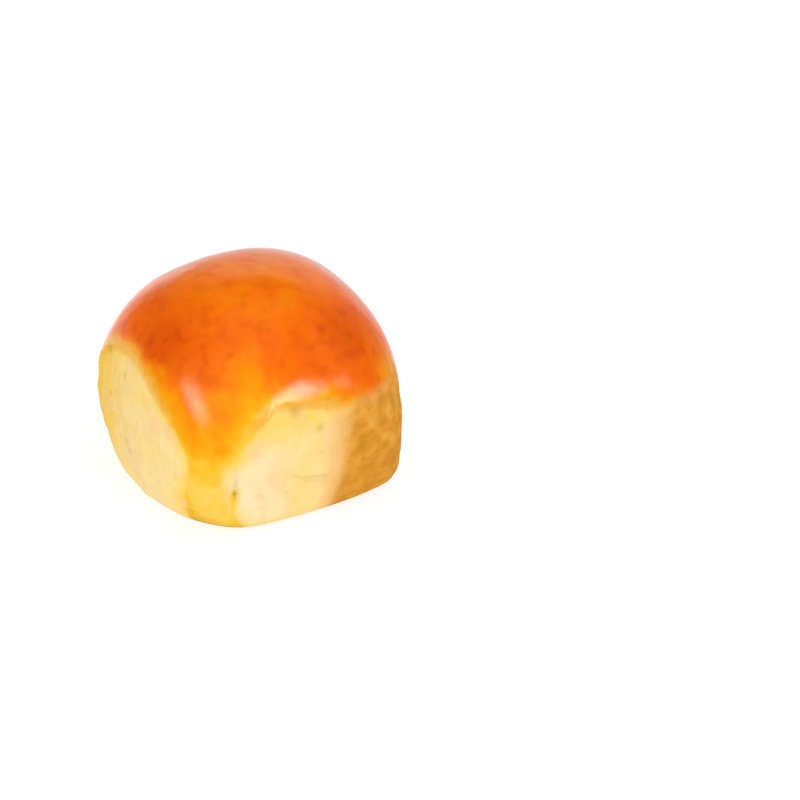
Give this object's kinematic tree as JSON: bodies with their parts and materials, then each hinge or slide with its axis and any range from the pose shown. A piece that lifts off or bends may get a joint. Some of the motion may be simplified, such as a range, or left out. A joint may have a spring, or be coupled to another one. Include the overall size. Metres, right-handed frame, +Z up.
{
  "type": "cinnamon sweet bread",
  "caption": "Soft domed sweet bread roll with a glossy browned crust and pale torn sides, resting on its flat base.",
  "frame": {"origin": "middle of the bounding box at the flat base", "axes": "+Z up through the dome; the four torn sides face along X and Y, and the corner between the -X and -Y sides is the one a viewer in front of it sees"},
  "size_m": [0.066, 0.0611, 0.0559],
  "materials": {
    "bread": "glossy golden-orange baked crust over pale yellow porous crumb on the torn sides"
  },
  "bodies": {
    "root": {"bread_roll": "bread"}
  },
  "joints": []
}
